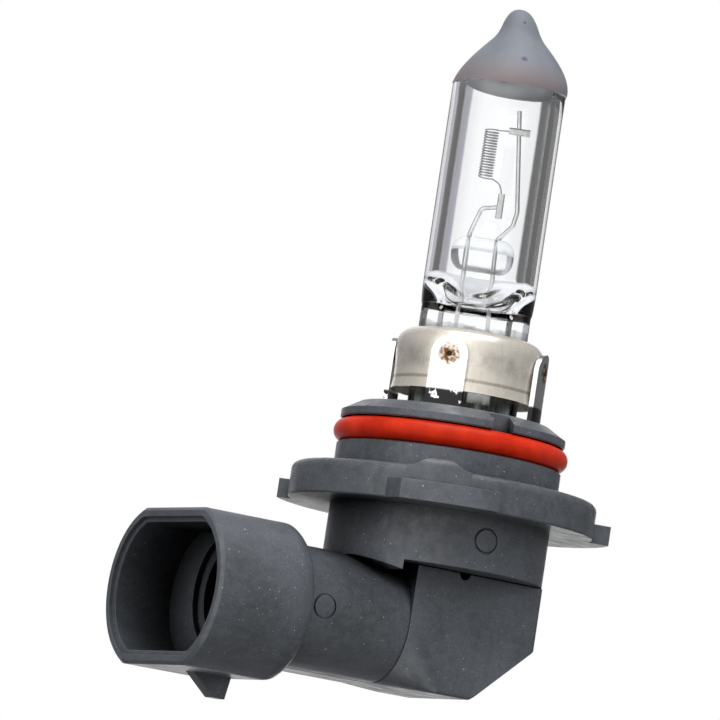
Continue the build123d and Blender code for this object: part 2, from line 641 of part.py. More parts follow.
def build():
    coil = filament_coil()
    long_wire, short_wire = long_support_wire(), short_support_wire()
    upper = clamp(UPPER_CLAMP_AT, UPPER_CLAMP_SIZE)
    lower = clamp(LOWER_CLAMP_AT, LOWER_CLAMP_SIZE)
    long_foil, short_foil = foil(LONG_LEAD_X), foil(SHORT_LEAD_X)
    feeds = [feed_wire(LONG_LEAD_X, -1), feed_wire(SHORT_LEAD_X, 1)]
    blades = [terminal(-1), terminal(1)]

    upper = upper - coil - long_wire
    lower = lower - coil - short_wire
    bead = bead_bridge() - long_wire - short_wire
    long_foil, short_foil = long_foil - long_wire, short_foil - short_wire

    glass = glass_outside() - glass_inside()
    for inner in (long_wire, short_wire, long_foil, short_foil):
        glass -= inner
    glass = at_burner(glass)
    for feed in feeds:
        glass -= feed
    foils = [at_burner(long_foil) - feeds[0], at_burner(short_foil) - feeds[1]]

    cup = collar()
    ring = prong_ring()
    nuggets = [nugget - cup - ring for nugget in weld_nuggets()]
    ring_placed = at_burner(ring)

    return {
        "glass_envelope": glass,
        "tip_coating": at_burner(tip_coating()),
        "filament_coil": at_burner(coil),
        "long_support_wire": at_burner(long_wire),
        "short_support_wire": at_burner(short_wire),
        "upper_filament_clamp": at_burner(upper),
        "lower_filament_clamp": at_burner(lower),
        "bead_bridge": at_burner(bead),
        "long_side_foil": foils[0],
        "short_side_foil": foils[1],
        "long_side_feed_wire": feeds[0],
        "short_side_feed_wire": feeds[1],
        "burner_collar": at_burner(cup),
        "pinch_clip": at_burner(pinch_clip()),
        "prong_ring": ring_placed,
        "weld_nuggets": at_burner(Compound(nuggets)),
        "base_housing": base_housing([ring_placed], blades, feeds),
        "o_ring": o_ring(),
        "elbow_cover": elbow_cover(),
        "near_terminal": blades[0],
        "far_terminal": blades[1],
    }


os.makedirs("parts", exist_ok=True)
for name, shape in build().items():
    export_step(shape, f"parts/{name}.step")
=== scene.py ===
import bpy
from math import cos, pi, radians, sin
from mathutils import Matrix, Vector
from mathutils.geometry import interpolate_bezier


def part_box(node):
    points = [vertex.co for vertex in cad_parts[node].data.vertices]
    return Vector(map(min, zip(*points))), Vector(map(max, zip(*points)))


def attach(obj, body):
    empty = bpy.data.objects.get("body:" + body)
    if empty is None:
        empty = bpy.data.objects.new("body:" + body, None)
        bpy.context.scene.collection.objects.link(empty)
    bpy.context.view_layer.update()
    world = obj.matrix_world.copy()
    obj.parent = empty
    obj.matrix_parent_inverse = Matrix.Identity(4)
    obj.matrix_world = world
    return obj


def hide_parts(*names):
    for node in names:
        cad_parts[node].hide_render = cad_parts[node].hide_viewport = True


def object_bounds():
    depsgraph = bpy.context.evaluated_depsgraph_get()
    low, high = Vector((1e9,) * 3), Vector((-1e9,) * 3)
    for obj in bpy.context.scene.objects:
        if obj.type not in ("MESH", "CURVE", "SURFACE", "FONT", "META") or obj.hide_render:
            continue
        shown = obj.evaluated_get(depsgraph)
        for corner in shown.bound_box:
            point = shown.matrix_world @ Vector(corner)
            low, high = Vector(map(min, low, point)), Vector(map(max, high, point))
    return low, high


# Right-angle headlight bulb.  Metres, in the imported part's frame.
# The CAD nodes that are moulded, stamped or bent stay, and get their materials here.
# The glass, the paint on its tip, the filament and the seal are rebuilt more finely.

MM = 0.001

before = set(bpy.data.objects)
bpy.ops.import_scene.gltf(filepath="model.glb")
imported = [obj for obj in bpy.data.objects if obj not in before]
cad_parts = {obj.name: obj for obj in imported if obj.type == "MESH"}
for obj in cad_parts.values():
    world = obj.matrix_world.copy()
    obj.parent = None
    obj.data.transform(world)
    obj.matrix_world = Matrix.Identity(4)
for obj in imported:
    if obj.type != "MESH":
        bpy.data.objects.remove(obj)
cad_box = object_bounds()


# --- places read from the frame -----------------------------------------------------
def middle(name):
    low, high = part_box(name)
    return (low + high) / 2


glass_low, glass_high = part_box("glass_envelope")
coating_low, coating_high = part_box("tip_coating")
collar_low, collar_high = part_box("burner_collar")
prong_low, prong_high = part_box("prong_ring")
ring_low, ring_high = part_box("o_ring")

BURNER_AXIS = Vector((middle("burner_collar").x, middle("burner_collar").y, 0))
BURNER_TURN = radians(-30)       # the pinch and the filament stand at this angle to the plug
BURNER_FRAME = Matrix.Translation(BURNER_AXIS) @ Matrix.Rotation(BURNER_TURN, 4, "Z")

COATING_DEPTH = 0.06 * MM
COATING_EDGE = coating_low.z
TUBE_RADIUS = (coating_high.x - coating_low.x) / 2 - COATING_DEPTH
TUBE_WALL = 1.25 * MM
TIP_TOP = glass_high.z
PINCH_FOOT = glass_low.z
COLLAR_RIM = collar_low.z
PRONG_BEND = prong_low.z + 4.8 * MM
PRONG_ANGLES = (-135, -45, 45, 135)


# --- mesh helpers -------------------------------------------------------------------
def piece(name, points, faces, material, stands_for, placing=Matrix.Identity(4)):
    """Makes a smooth mesh from points in metres and rides it on the lamp's one body."""
    mesh = bpy.data.meshes.new(name)
    mesh.from_pydata([placing @ Vector(p) for p in points], [], faces)
    mesh.validate()
    mesh.polygons.foreach_set("use_smooth", [True] * len(mesh.polygons))
    mesh.materials.append(material)
    made = bpy.data.objects.new(name, mesh)
    bpy.context.scene.collection.objects.link(made)
    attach(made, "root")
    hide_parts(stands_for)


def skin(rings, close=True, flip=False):
    """Quads between rings of equal length, with a fan to a pole at each end when closed."""
    count = len(rings[0])
    points = [p for ring in rings for p in ring]
    faces = []
    for level in range(len(rings) - 1):
        for side in range(count):
            a, b = level * count + side, level * count + (side + 1) % count
            faces.append((a, b, b + count, a + count))
    if close:
        last = (len(rings) - 1) * count
        for ring, start in ((rings[0], 0), (rings[-1], last)):
            points.append(tuple(sum(p[axis] for p in ring) / count for axis in range(3)))
            pole = len(points) - 1
            for side in range(count):
                a, b = start + side, start + (side + 1) % count
                faces.append((pole, b, a) if start == 0 else (pole, a, b))
    if flip:
        faces = [tuple(reversed(face)) for face in faces]
    return points, faces


def joined(*shells):
    """Several (points, faces) shells as one."""
    points, faces = [], []
    for shell_points, shell_faces in shells:
        base = len(points)
        points += list(shell_points)
        faces += [tuple(index + base for index in face) for face in shell_faces]
    return points, faces


def circle(radius, z, count, shift=0.0):
    """A ring of points round the axis, moved sideways by the shift."""
    turns = [2 * pi * i / count for i in range(count)]
    return [(radius * cos(turn) + shift, radius * sin(turn), z) for turn in turns]


def turned(outline, count, shift=None):
    """Turns a closed (radius, z) outline about Z; shift moves each height sideways."""
    rings = [circle(radius, z, count, shift(z) if shift else 0.0) for radius, z in outline]
    return skin(rings + rings[:1], close=False)


def curve(start, start_pull, end_pull, end, steps):
    """Points of a Bezier arc in (radius, z), leaving out the first."""
    knots = [Vector((r, z, 0)) for r, z in (start, start_pull, end_pull, end)]
    return [(p.x, p.y) for p in interpolate_bezier(*knots, steps + 1)[1:]]


def moved(point, sideways, up):
    """A (radius, z) point moved by millimetres."""
    return (point[0] + sideways * MM, point[1] + up * MM)


def smooth_step(value):
    value = min(max(value, 0.0), 1.0)
    return value * value * (3 - 2 * value)


# --- material helpers ---------------------------------------------------------------
def new_material(name):
    material = bpy.data.materials.new(name)
    material.use_nodes = True
    material.node_tree.nodes.clear()
    return material, material.node_tree


def node(tree, kind, inputs=None, **settings):
    """Adds a shader node; each input is a plain value or another node's output socket."""
    made = tree.nodes.new("ShaderNode" + kind)
    for key, value in settings.items():
        setattr(made, key, value)
    for key, value in (inputs or {}).items():
        if isinstance(value, bpy.types.NodeSocket):
            tree.links.new(value, made.inputs[key])
        else:
            made.inputs[key].default_value = value
    return made


def grey(value):
    return (value, value, value, 1)


def noise(tree, where, scale, detail=4, roughness=0.5, distortion=0.0):
    """Noise whose scale counts features per millimetre."""
    made = node(tree, "TexNoise", {
        "Vector": where, "Scale": scale / MM, "Detail": detail, "Roughness": roughness,
        "Distortion": distortion,
    })
    return made.outputs["Fac"]


def ramp(tree, factor, *stops):
    """Colour ramp from (position, colour) stops; a plain number is a grey."""
    made = node(tree, "ValToRGB", {"Fac": factor})
    elements = made.color_ramp.elements
    while len(elements) < len(stops):
        elements.new(0.5)
    for element, (position, colour) in zip(elements, stops):
        element.position = position
        element.color = grey(colour) if isinstance(colour, (int, float)) else (*colour, 1)
    return made.outputs["Color"]


def mix(tree, factor, first, second, blend="MIX"):
    """Second colour over the first by the factor; colours are triples or sockets."""
    made = tree.nodes.new("ShaderNodeMix")
    made.data_type = "RGBA"
    made.blend_type = blend
    for index, value in ((0, factor), (6, first), (7, second)):
        if isinstance(value, bpy.types.NodeSocket):
            tree.links.new(value, made.inputs[index])
        elif index == 0:
            made.inputs[index].default_value = value
        else:
            made.inputs[index].default_value = (*value, 1)
    return made.outputs[2]


def maths(tree, operation, first, second=0.0, third=0.0):
    made = node(tree, "Math", operation=operation)
    for index, value in enumerate((first, second, third)):
        if isinstance(value, bpy.types.NodeSocket):
            tree.links.new(value, made.inputs[index])
        else:
            made.inputs[index].default_value = value
    return made.outputs[0]


def times(tree, first, second):
    return maths(tree, "MULTIPLY", first, second)


def between(tree, value, low, high, to_low=0.0, to_high=1.0):
    """Value rescaled from low..high to to_low..to_high, clamped, with smooth ends."""
    made = node(tree, "MapRange", {
        "Value": value, "From Min": low, "From Max": high, "To Min": to_low, "To Max": to_high,
    }, interpolation_type="SMOOTHSTEP")
    return made.outputs[0]


def place(tree):
    return node(tree, "TexCoord").outputs["Object"]


def height_of(tree, where):
    return node(tree, "SeparateXYZ", {"Vector": where}).outputs["Z"]


def stretched(tree, where, *scale):
    """The place scaled along each axis, so that a noise on it runs in streaks."""
    return node(tree, "Mapping", {"Vector": where, "Scale": scale}).outputs[0]


def distance_to(tree, where, point):
    made = node(tree, "VectorMath", {0: where, 1: tuple(point)}, operation="DISTANCE")
    return made.outputs["Value"]


def agreement(tree, first, second):
    """Dot product of two directions."""
    made = node(tree, "VectorMath", {0: first, 1: second}, operation="DOT_PRODUCT")
    return made.outputs["Value"]


def bump(tree, height, strength, distance, normal=None):
    inputs = {"Height": height, "Strength": strength, "Distance": distance}
    if normal is not None:
        inputs["Normal"] = normal
    return node(tree, "Bump", inputs).outputs["Normal"]


def finish(tree, **inputs):
    """Principled surface; input names use _ for a space."""
    named = {key.replace("_", " "): value for key, value in inputs.items()}
    shader = node(tree, "BsdfPrincipled", named)
    output = tree.nodes.new("ShaderNodeOutputMaterial")
    tree.links.new(shader.outputs[0], output.inputs[0])


# --- plastic ------------------------------------------------------------------------
EDGE_ROUNDING = 0.16 * MM        # how far a moulded edge is softened
HOLLOW_REACH = 22 * MM           # how far away a wall still darkens a hollow with painted shade


def edge_highlight(tree, rounded):
    """How far the softened edge normal leans away from the flat one."""
    flat = node(tree, "NewGeometry").outputs["Normal"]
    return between(tree, agreement(tree, rounded, flat), 0.80, 0.995, 1.0, 0.0)


def moulded_plastic(name, seed):
    """Glass-filled nylon, charcoal, mottled, dusty; painted highlight on edges, painted black shade in
    hollows.
    """
    charcoal, light_charcoal = (0.060, 0.066, 0.073), (0.107, 0.118, 0.136)
    pale, dark = (0.150, 0.163, 0.182), (0.030, 0.034, 0.039)
    fibre_grey, dust_grey = (0.34, 0.34, 0.33), (0.70, 0.70, 0.68)
    edge_highlight_grey, hollow_shade_black = (0.16, 0.165, 0.17), (0.004, 0.004, 0.004)
    material, tree = new_material(name)
    where = node(tree, "Mapping", {"Vector": place(tree), "Location": (seed, seed, 0)}).outputs[0]
    cloud = noise(tree, where, 0.13, 5, 0.62)
    mottle = noise(tree, where, 1.3, 5, 0.7)
    grain = noise(tree, where, 7.0, 3, 0.6)
    base = ramp(tree, cloud, (0.34, charcoal), (0.64, light_charcoal))
    base = mix(tree, ramp(tree, mottle, (0.42, 0.0), (0.72, 0.45)), base, pale)
    base = mix(tree, ramp(tree, grain, (0.40, 0.35), (0.60, 0.0)), base, dark)
    fibres = ramp(tree, noise(tree, where, 2.6, 2, 0.9), (0.735, 0.0), (0.76, 1.0))
    base = mix(tree, times(tree, fibres, 0.35), base, fibre_grey)
    dust = ramp(tree, noise(tree, where, 4.6, 1, 0.5), (0.765, 0.0), (0.785, 1.0))
    base = mix(tree, times(tree, dust, 0.8), base, dust_grey)

    rounded = node(tree, "Bevel", {"Radius": EDGE_ROUNDING}, samples=6).outputs[0]
    # Painted highlight: a paler grey laid along every rounded edge.
    base = mix(tree, times(tree, edge_highlight(tree, rounded), 0.55), base, edge_highlight_grey)
    # Painted shade: ambient occlusion turns the hollows and the socket's inside black and takes away
    # their gloss.
    openness = node(tree, "AmbientOcclusion", {"Distance": HOLLOW_REACH}, samples=8).outputs["AO"]
    lit = ramp(tree, openness, (0.24, 0.0), (0.62, 1.0))
    base = mix(tree, lit, hollow_shade_black, base)

    relief = maths(tree, "ADD", times(tree, mottle, 0.7), times(tree, grain, 0.45))
    film = noise(tree, stretched(tree, where, 0.3, 1.6, 1.0), 0.9, 5, 0.7)
    film = times(tree, ramp(tree, film, (0.38, 0.15), (0.62, 0.9)), lit)
    finish(tree, Base_Color=base, Roughness=ramp(tree, mottle, (0.3, 0.46), (0.75, 0.62)), IOR=1.5,
           Normal=bump(tree, relief, 0.35, 0.05 * MM, rounded),
           Specular_IOR_Level=times(tree, lit, 0.5),
           Coat_Weight=times(tree, film, 0.8), Coat_Roughness=0.2)
    return material


# --- rubber -------------------------------------------------------------------------
def seal_rubber():
    """Silicone rubber: saturated orange-red, softly glossy, a little lint."""
    material, tree = new_material("seal_rubber")
    where = place(tree)
    cloud = noise(tree, where, 0.5, 4, 0.6)
    base = ramp(tree, cloud, (0.3, (0.52, 0.014, 0.003)), (0.7, (0.74, 0.030, 0.005)))
    lint = ramp(tree, noise(tree, where, 4.0, 2, 0.7, 1.5), (0.76, 0.0), (0.80, 1.0))
    base = mix(tree, times(tree, lint, 0.4), base, (0.9, 0.6, 0.5))
    relief = noise(tree, where, 1.8, 4, 0.55)
    finish(tree, Base_Color=base, Roughness=ramp(tree, cloud, (0.3, 0.30), (0.7, 0.42)),
           Normal=bump(tree, relief, 0.18, 0.06 * MM), Specular_IOR_Level=0.3,
           Specular_Tint=(1.0, 0.55, 0.35, 1), Coat_Weight=0.05, Coat_Roughness=0.15)
    return material


# --- glass and its paint ------------------------------------------------------------
FROST_TOP = collar_high.z + 1.35 * MM
FROST_WAVER = 1.2 * MM           # how ragged the frosted band's upper edge is
FROST_BLUR = 0.25 * MM
BELOW_RIM_BLUR = 0.4 * MM             # the glass below the collar's rim darkens over this height
OUTLINE_SHARE = 0.75             # how much of the painted dark outline's grey covers the glass
WARM_HEIGHT = 3.5 * MM           # the paint is warmer this far up from its edge
# Small dark pits in the paint: sideways from the axis, height, size.
PAINT_PITS = ((0.5 * MM, 44.7 * MM, 0.19 * MM), (1.0 * MM, 40.7 * MM, 0.38 * MM))


def clear_glass(name, waviness):
    """Hard glass: frosted just above the collar, darker in streaks below its rim, with a painted grey
    outline.
    """
    material, tree = new_material(name)
    where = place(tree)
    height = height_of(tree, where)
    streaks = noise(tree, stretched(tree, where, 1, 1, 0.15), 1.2, 4, 0.7)
    ragged = maths(tree, "MULTIPLY_ADD", noise(tree, where, 0.7, 4, 0.6), FROST_WAVER, height)
    frosted = between(tree, ragged, FROST_TOP, FROST_TOP + FROST_BLUR, 1.0, 0.0)
    # Below the collar's rim the glass is tinted darker, in streaks.
    below_rim = between(tree, height, COLLAR_RIM - BELOW_RIM_BLUR, COLLAR_RIM + BELOW_RIM_BLUR, 1.0, 0.0)
    frost = ramp(tree, streaks, (0.35, (0.24, 0.27, 0.26)), (0.65, (0.60, 0.63, 0.62)))
    below_rim_streaks = ramp(tree, streaks, (0.40, (0.008, 0.011, 0.009)), (0.66, (0.20, 0.24, 0.22)))
    tint = mix(tree, frosted, (0.985, 0.99, 0.995), frost)
    tint = mix(tree, below_rim, tint, below_rim_streaks)
    ripple = noise(tree, where, 0.8, 3, 0.5)
    glass = node(tree, "BsdfPrincipled", {
        "Base Color": tint, "Roughness": times(tree, frosted, 0.3), "IOR": 1.47,
        "Transmission Weight": 1.0, "Normal": bump(tree, ripple, waviness, 0.1 * MM),
    })
    # Painted shade: a grey diffuse over the glass at grazing angles, for camera rays only, stands in for
    # its dark edges.
    outline_shade_grey = node(tree, "BsdfDiffuse", {"Color": (0.22, 0.23, 0.24, 1)})
    facing = node(tree, "LayerWeight", {"Blend": 0.5}).outputs["Facing"]
    seen = node(tree, "LightPath").outputs["Is Camera Ray"]
    outline = times(tree, between(tree, facing, 0.76, 0.9), times(tree, seen, OUTLINE_SHARE))
    mixed = node(tree, "MixShader", {0: outline, 1: glass.outputs[0], 2: outline_shade_grey.outputs[0]})
    output = tree.nodes.new("ShaderNodeOutputMaterial")
    tree.links.new(mixed.outputs[0], output.inputs[0])
    return material


def on_tip(sideways, z):
    """Point on the camera's side of the tip, at this height and distance from the axis."""
    radius = min(tip_curve(), key=lambda point: abs(point[1] - z))[0]
    turn = Matrix.Rotation(radians(CAMERA_AZIMUTH), 3, "Z")
    depth = (radius ** 2 - sideways ** 2) ** 0.5
    return BURNER_AXIS + turn @ Vector((sideways, -depth, 0)) + Vector((0, 0, z))


def facing_inwards(tree, where):
    """One where a surface looks towards the burner's axis, as the paint does through the glass."""
    from_axis = node(tree, "VectorMath", {0: where, 1: tuple(BURNER_AXIS)}, operation="SUBTRACT")
    normal = node(tree, "NewGeometry").outputs["Normal"]
    return maths(tree, "LESS_THAN", agreement(tree, from_axis.outputs[0], normal), 0.0)


def tip_paint():
    """Grey anti-glare paint, dipped: satin, blotched, pitted, warmer at its edge, pale inside."""
    material, tree = new_material("tip_paint")
    where = place(tree)
    cloud = noise(tree, where, 0.22, 5, 0.6)
    base = ramp(tree, cloud, (0.3, (0.165, 0.182, 0.208)), (0.7, (0.235, 0.248, 0.272)))
    low = between(tree, height_of(tree, where), COATING_EDGE, COATING_EDGE + WARM_HEIGHT, 1.0, 0.0)
    warm = ramp(tree, noise(tree, where, 0.12, 2, 0.5), (0.4, 0.1), (0.62, 0.9))
    base = mix(tree, times(tree, low, warm), base, (0.245, 0.195, 0.195))
    blot = ramp(tree, noise(tree, where, 0.9, 3, 0.75), (0.70, 0.0), (0.76, 0.6))
    base = mix(tree, blot, base, (0.13, 0.15, 0.20))
    fleck = ramp(tree, noise(tree, where, 3.5, 2, 0.8), (0.72, 0.0), (0.78, 0.35))
    base = mix(tree, fleck, base, (0.5, 0.5, 0.52))
    for sideways, z, size in PAINT_PITS:
        offset = distance_to(tree, where, on_tip(sideways, z))
        ragged = maths(tree, "MULTIPLY_ADD", noise(tree, where, 3.0, 3, 0.7), size, offset)
        pit = between(tree, ragged, 0.9 * size, 1.6 * size, 0.75, 0.0)
        base = mix(tree, pit, base, (0.035, 0.05, 0.12))
    base = mix(tree, facing_inwards(tree, where), base, (0.62, 0.63, 0.64))
    relief = noise(tree, where, 1.6, 5, 0.6)
    finish(tree, Base_Color=base, Roughness=ramp(tree, cloud, (0.3, 0.42), (0.7, 0.6)),
           Normal=bump(tree, relief, 0.25, 0.05 * MM), IOR=1.45)
    return material


# --- metals -------------------------------------------------------------------------
FUSED_BLUR = 0.5 * MM            # a wire turns frosty over this height as it enters the pinch
FROST_PAINTED_GLOW = 0.4                 # painted glow standing in for light scattered by the frosty sheath of a fused wire
BURN_WAVER = 1.1 * MM            # how ragged the burnt ring round a spot weld is
BURN_EDGE = (1.3 * MM, 1.75 * MM)
PIT_EDGE = (0.22 * MM, 0.42 * MM)
BEND_WAVER = 0.3 * MM
BEND_BLUR = 0.25 * MM


def drawn_metal(name, dark, light, roughness, streak=3.0, fused_below=None):
    """Wire or strip with fine draw lines and small stains; frosty, with a painted glow, where it is
    fused into the pinch.
    """
    material, tree = new_material(name)
    where = place(tree)
    metallic, painted_glow = 1.0, 0.0
    lines = noise(tree, stretched(tree, where, 1, 1, 0.12), streak, 4, 0.6)
    stains = noise(tree, where, 1.1, 4, 0.65)
    base = ramp(tree, lines, (0.3, dark), (0.7, light))
    base = mix(tree, ramp(tree, stains, (0.55, 0.0), (0.8, 0.5)), base, tuple(0.6 * c for c in dark))
    if fused_below:
        fused = between(tree, height_of(tree, where), fused_below - FUSED_BLUR, fused_below, 1.0, 0.0)
        frost = ramp(tree, noise(tree, where, 2.5, 3, 0.7), (0.4, 0.55), (0.6, 0.95))
        base = mix(tree, fused, base, frost)
        metallic = maths(tree, "SUBTRACT", 1.0, fused)
        # Painted light: the fused part emits light, though it is no lamp.
        painted_glow = times(tree, fused, FROST_PAINTED_GLOW)
    rough = ramp(tree, stains, (0.3, roughness), (0.75, min(1.0, roughness + 0.18)))
    finish(tree, Base_Color=base, Metallic=metallic, Roughness=rough, Emission_Color=(1, 1, 1, 1),
           Emission_Strength=painted_glow, Normal=bump(tree, lines, 0.2, 0.02 * MM))
    return material


def collar_metal():
    """Nickel-plated drawn cup: satin; painted dark reflection and dark specks at mid-height; grime line
    near its rim.
    """
    material, tree = new_material("collar_metal")
    where = place(tree)
    share = between(tree, height_of(tree, where), collar_low.z, collar_high.z)
    streaks = noise(tree, stretched(tree, where, 1, 1, 0.25), 1.6, 5, 0.65)
    patches = noise(tree, where, 0.3, 4, 0.6)
    grain = noise(tree, where, 8.0, 3, 0.7)
    base = ramp(tree, streaks, (0.3, (0.80, 0.74, 0.64)), (0.7, (0.94, 0.88, 0.77)))
    waist = times(tree, between(tree, share, 0.15, 0.4), between(tree, share, 0.62, 0.85, 1.0, 0.0))
    # Painted reflection: dark patches at mid-height stand in for the dim room mirrored in the collar.
    dark_reflection = times(tree, waist, ramp(tree, patches, (0.42, 0.0), (0.62, 0.75)))
    base = mix(tree, dark_reflection, base, (0.50, 0.46, 0.41))
    line = times(tree, between(tree, share, 0.055, 0.075), between(tree, share, 0.09, 0.13, 1.0, 0.0))
    grime = ramp(tree, noise(tree, where, 9.0, 2, 0.6), (0.3, 0.35), (0.65, 0.75))
    base = mix(tree, times(tree, line, grime), base, (0.24, 0.19, 0.14))
    # Fine dark specks over the same mid-height band.
    waist_speckles = ramp(tree, noise(tree, where, 6.0, 3, 0.75), (0.52, 0.0), (0.66, 0.3))
    base = mix(tree, times(tree, waist, waist_speckles), base, (0.30, 0.27, 0.24))
    relief = maths(tree, "ADD", times(tree, streaks, 0.8), times(tree, grain, 0.3))
    finish(tree, Base_Color=base, Metallic=0.55, Roughness=ramp(tree, patches, (0.3, 0.24), (0.7, 0.36)),
           Normal=bump(tree, relief, 0.22, 0.04 * MM))
    return material


def nearest_of(tree, where, points):
    """Distance to the nearest of the points."""
    nearest = distance_to(tree, where, points[0])
    for point in points[1:]:
        nearest = maths(tree, "MINIMUM", nearest, distance_to(tree, where, point))
    return nearest


def prong_metal(welds):
    """Bright stainless strip, browned and pitted round each spot weld; a painted dark reflection below
    its bend.
    """
    material, tree = new_material("prong_metal")
    where = place(tree)
    sheen = noise(tree, where, 0.5, 4, 0.6)
    base = ramp(tree, sheen, (0.3, (0.80, 0.80, 0.80)), (0.7, (0.93, 0.93, 0.92)))
    nearest = nearest_of(tree, where, welds)
    ragged = maths(tree, "ADD", nearest, times(tree, noise(tree, where, 2.2, 4, 0.8), BURN_WAVER))
    burnt = between(tree, ragged, *BURN_EDGE, 1.0, 0.0)
    base = mix(tree, times(tree, burnt, 0.45), base, (0.80, 0.62, 0.35))
    scorch = ramp(tree, noise(tree, where, 1.9, 3, 0.7), (0.42, 0.0), (0.55, 1.0))
    base = mix(tree, times(tree, burnt, scorch), base, (0.20, 0.09, 0.03))
    base = mix(tree, between(tree, nearest, *PIT_EDGE, 1.0, 0.0), base, (0.05, 0.025, 0.012))
    # Painted reflection: below the bend the strip turns dark with a few bright glints, for the dark base
    # mirrored in it.
    waver = noise(tree, where, 0.35, 2, 0.5)
    height = maths(tree, "MULTIPLY_ADD", waver, BEND_WAVER, height_of(tree, where))
    bend_reflection_mask = between(tree, height, PRONG_BEND, PRONG_BEND + BEND_BLUR, 1.0, 0.0)
    bend_reflection = ramp(tree, noise(tree, where, 0.9, 3, 0.6), (0.61, 0.03), (0.65, 0.85))
    base = mix(tree, bend_reflection_mask, base, bend_reflection)
    rough = mix(tree, burnt, (0.16, 0.16, 0.16), (0.5, 0.5, 0.5))
    grain = noise(tree, where, 5.0, 4, 0.6)
    finish(tree, Base_Color=base, Metallic=1.0, Roughness=rough,
           Normal=bump(tree, grain, 0.12, 0.02 * MM))
    return material


# --- burner glass -------------------------------------------------------------------
PINCH_HALF_WIDTH = 5.35 * MM
PINCH_HALF_DEPTH = 1.3 * MM
RAIL_HALF_DEPTH = 1.8 * MM       # the pinch is thicker along its two edges
RAIL_INNER = 3.2 * MM
RAIL_RISE = 0.45 * MM
PINCH_CORNER = 0.9 * MM
SHOULDER_HEIGHT = 19.0 * MM      # the round tube ends here and starts to flatten
SHOULDER_DROP = 2.8 * MM
TIP_NECK = (2.36 * MM, 43.2 * MM)
TIP_NOSE = (1.56 * MM, 44.8 * MM)
TIP_SLOPE = 0.45                 # how steeply the outline closes in at the nose
TIP_LEAN = 0.34 * MM
CAVITY_FLOOR = 17.1 * MM
CAVITY_WALL_END = 19.5 * MM
CAVITY_DOME = 42.2 * MM
GLASS_SIDES = 160


def lean(z):
    """The tip was drawn off slightly to one side, most of all at its middle."""
    share = (z - COATING_EDGE) / (TIP_TOP - COATING_EDGE)
    return TIP_LEAN * sin(pi * min(max(share, 0.0), 1.0) ** 0.8)


def tip_curve(grow=0.0):
    """Outline of the drawn-off tip, from the paint's edge to its top, as three arcs."""
    edge = (TUBE_RADIUS + grow, COATING_EDGE)
    neck = (TIP_NECK[0] + grow, TIP_NECK[1])
    nose = (TIP_NOSE[0] + grow, TIP_NOSE[1])
    top = (0.02 * MM, TIP_TOP + grow)
    points = [edge]
    points += curve(edge, moved(edge, 0, 1.9), moved(neck, 1.0, -1.15), neck, 18)
    points += curve(neck, moved(neck, -0.45, 0.6), moved(nose, 0.5 * TIP_SLOPE, -0.5), nose, 8)
    points += curve(nose, moved(nose, -TIP_SLOPE, 0.95), (0.75 * MM, top[1]), top, 12)
    return points


def pinch_ring(z, blend, count):
    """Cross-section between the flat pinch (blend 0) and the round tube (blend 1)."""
    ring = []
    for i in range(count):
        angle = 2 * pi * i / count
        c, s = cos(angle), sin(angle)
        x = PINCH_HALF_WIDTH * c
        beyond = max(0.0, (abs(x) - PINCH_HALF_WIDTH + PINCH_CORNER) / PINCH_CORNER)
        rounding = max(0.0, 1 - beyond * beyond) ** 0.5
        rail = smooth_step((abs(x) - RAIL_INNER) / RAIL_RISE)
        depth = PINCH_HALF_DEPTH + (RAIL_HALF_DEPTH - PINCH_HALF_DEPTH) * rail
        y = depth * rounding * (1 if s >= 0 else -1)
        ring.append((x + (TUBE_RADIUS * c - x) * blend, y + (TUBE_RADIUS * s - y) * blend, z))
    return ring


def glass_outside():
    """Pinch, shoulder, tube and tip."""
    pinch_steps, shoulder_steps, tube_steps = 14, 22, 9
    pinch_top = SHOULDER_HEIGHT - SHOULDER_DROP
    rings = []
    for step in range(pinch_steps):
        z = PINCH_FOOT + (pinch_top - PINCH_FOOT) * step / pinch_steps
        rings.append(pinch_ring(z, 0.0, GLASS_SIDES))
    for step in range(shoulder_steps + 1):
        sweep = pi / 2 * (1 - step / shoulder_steps)
        rings.append(pinch_ring(SHOULDER_HEIGHT - SHOULDER_DROP * sin(sweep), cos(sweep), GLASS_SIDES))
    for step in range(1, tube_steps):
        z = SHOULDER_HEIGHT + (COATING_EDGE - SHOULDER_HEIGHT) * step / tube_steps
        rings.append(circle(TUBE_RADIUS, z, GLASS_SIDES))
    rings += [circle(radius, z, GLASS_SIDES, lean(z)) for radius, z in tip_curve()]
    return skin(rings)


def pressed(x, y, radius):
    """How far the pressing of the pinch raised the cavity's floor at a point."""
    across, deep = x / MM, y / MM
    wave = 0.07 * sin(2.0 * across + 0.7) * cos(2.6 * deep) + 0.06 * sin(3.9 * deep + 0.8 * across)
    dish = 0.35 * (abs(y) / radius) ** 2 + 0.1 * sin(0.9 * across)
    return (wave + dish) * MM


